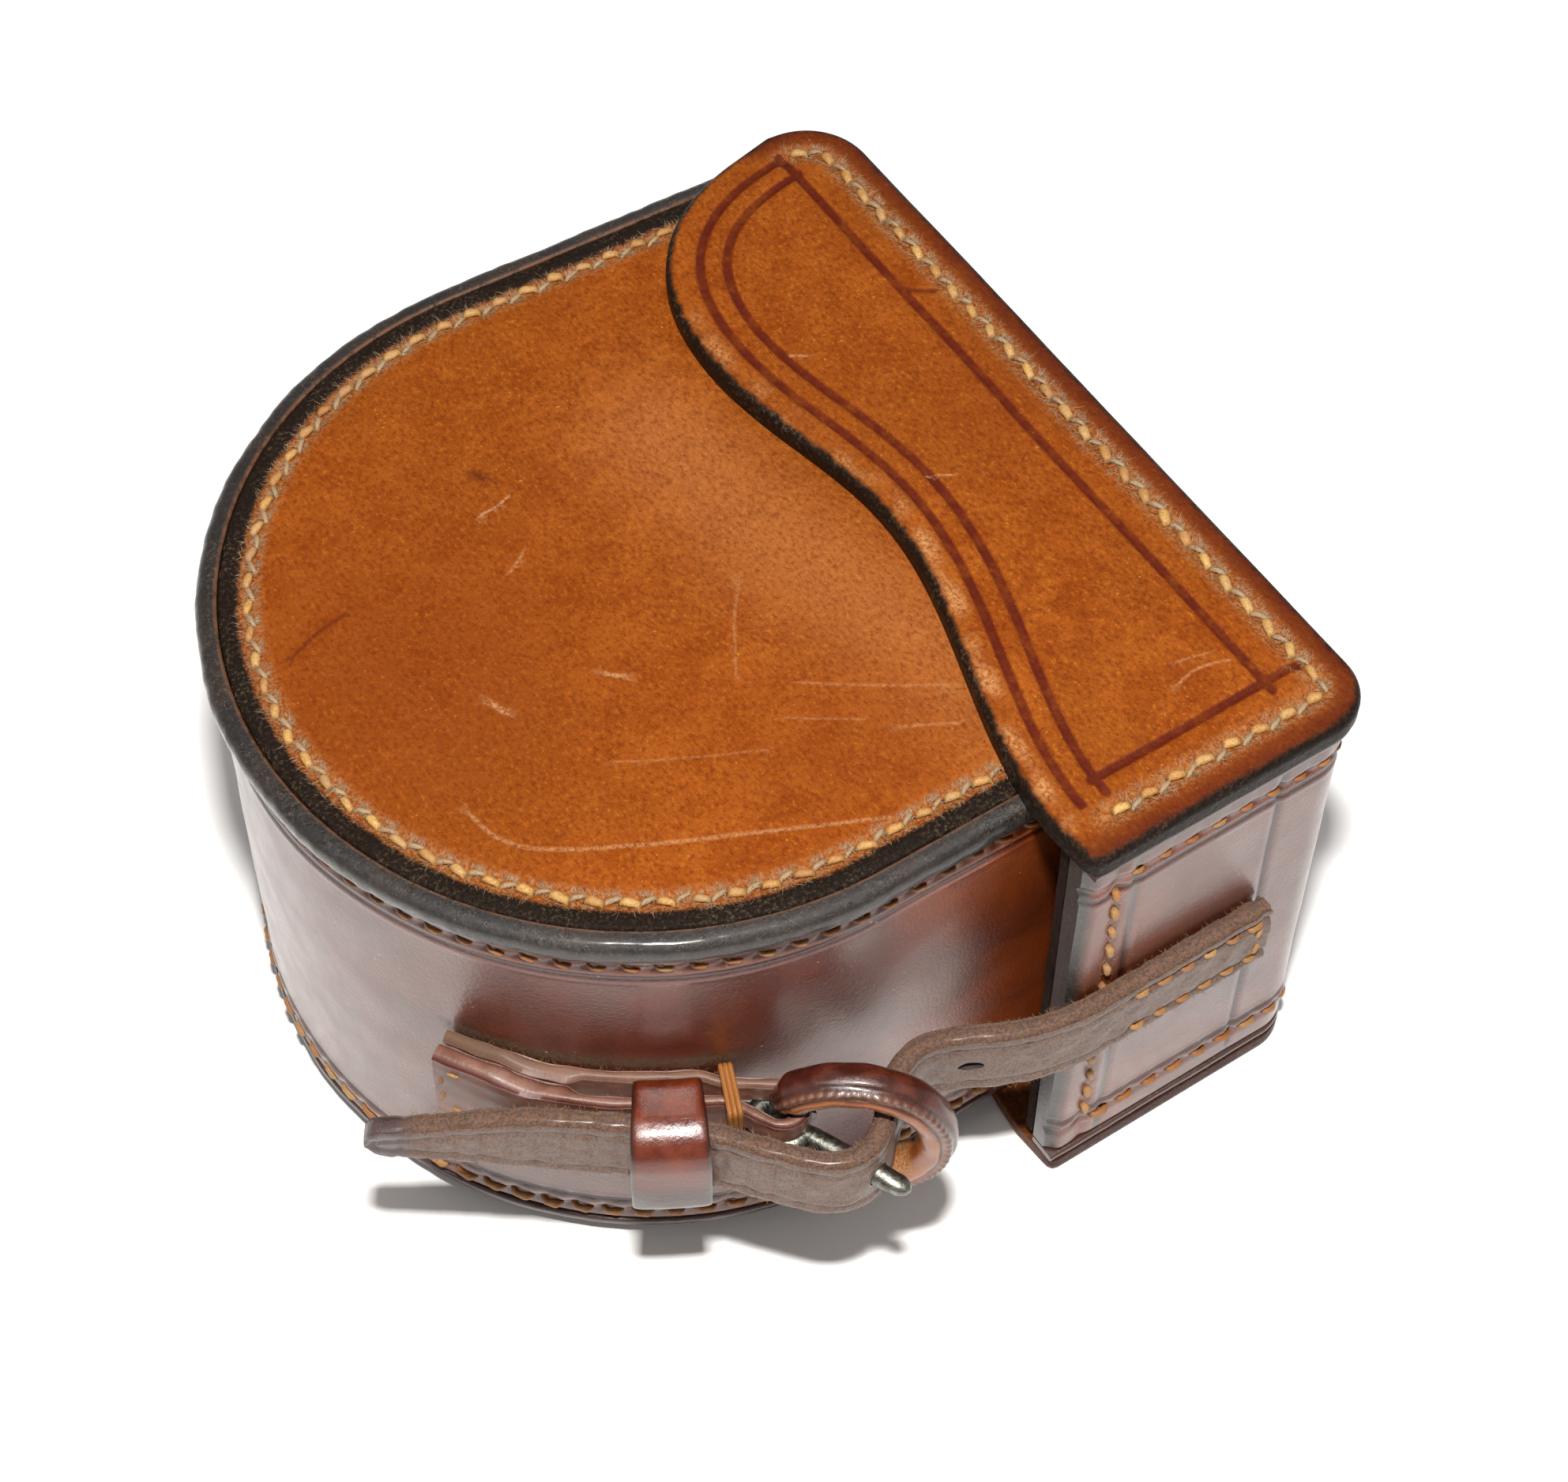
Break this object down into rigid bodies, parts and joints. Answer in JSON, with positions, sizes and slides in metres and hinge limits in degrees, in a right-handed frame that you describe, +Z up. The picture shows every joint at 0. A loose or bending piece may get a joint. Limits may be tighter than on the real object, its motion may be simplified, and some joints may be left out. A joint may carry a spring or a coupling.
{
  "type": "leather reel case",
  "caption": "D-shaped block-leather case with a hinged end cap whose flaps have S-shaped edges, closed by a strap through a leather-covered ring buckle.",
  "frame": {"origin": "underside of the case body, at the centre of its round end", "axes": "+X towards the flat end that opens, -Y the strap and buckle side, +Y the hinge side, +Z up"},
  "size_m": [0.1125, 0.1176, 0.069],
  "materials": {
    "tan_leather": "waxed, lightly worn",
    "mahogany_leather": "polished",
    "burnished_edge": "burnished, glossy",
    "strap_leather": "worn, dull",
    "linen_thread": "waxed",
    "lining_cloth": "napped",
    "steel": "dull"
  },
  "bodies": {
    "case": {"body_wall": "mahogany_leather", "body_top_panel": "tan_leather", "body_bottom_panel": "tan_leather", "body_top_welt": "burnished_edge", "body_bottom_welt": "burnished_edge", "body_wall_lining": "lining_cloth", "body_top_lining": "lining_cloth", "body_bottom_lining": "lining_cloth", "body_top_thread": "linen_thread", "body_bottom_thread": "linen_thread", "body_wall_top_thread": "linen_thread", "body_wall_bottom_thread": "linen_thread", "chape": "mahogany_leather", "chape_binding": "linen_thread", "chape_thread": "linen_thread", "hinge_leather": "mahogany_leather"},
    "lid": {"lid_wall": "mahogany_leather", "lid_top_panel": "tan_leather", "lid_bottom_panel": "tan_leather", "lid_top_welt": "burnished_edge", "lid_bottom_welt": "burnished_edge", "lid_wall_lining": "lining_cloth", "lid_top_thread": "linen_thread", "lid_bottom_thread": "linen_thread", "lid_wall_top_thread": "linen_thread", "lid_wall_bottom_thread": "linen_thread", "lid_mouth_thread": "linen_thread", "strap": "strap_leather", "strap_thread": "linen_thread"},
    "ring": {"ring_core": "steel", "ring_cover": "mahogany_leather"},
    "prong": {"prong": "steel"},
    "keeper": {"keeper": "mahogany_leather"}
  },
  "joints": [
    {"name": "lid_hinge", "type": "hinge", "parent": "case", "child": "lid", "pos_m": [0.045, 0.0472, 0.0315], "axis": [0, 0, 1], "range_deg": [0, 110], "deforming": ["hinge_leather", "strap", "strap_thread"]},
    {"name": "ring_swing", "type": "hinge", "parent": "case", "child": "ring", "pos_m": [-0.01613, -0.05264, 0.032], "axis": [0, 0, -1], "range_deg": [-38, 40]},
    {"name": "prong_swing", "type": "hinge", "parent": "ring", "child": "prong", "pos_m": [-0.01613, -0.05264, 0.032], "axis": [0, 0, -1], "range_deg": [-12, 45]},
    {"name": "keeper_slide", "type": "hinge", "parent": "case", "child": "keeper", "pos_m": [0, 0, 0.032], "axis": [0, 0, -1], "range_deg": [0, 6]}
  ]
}
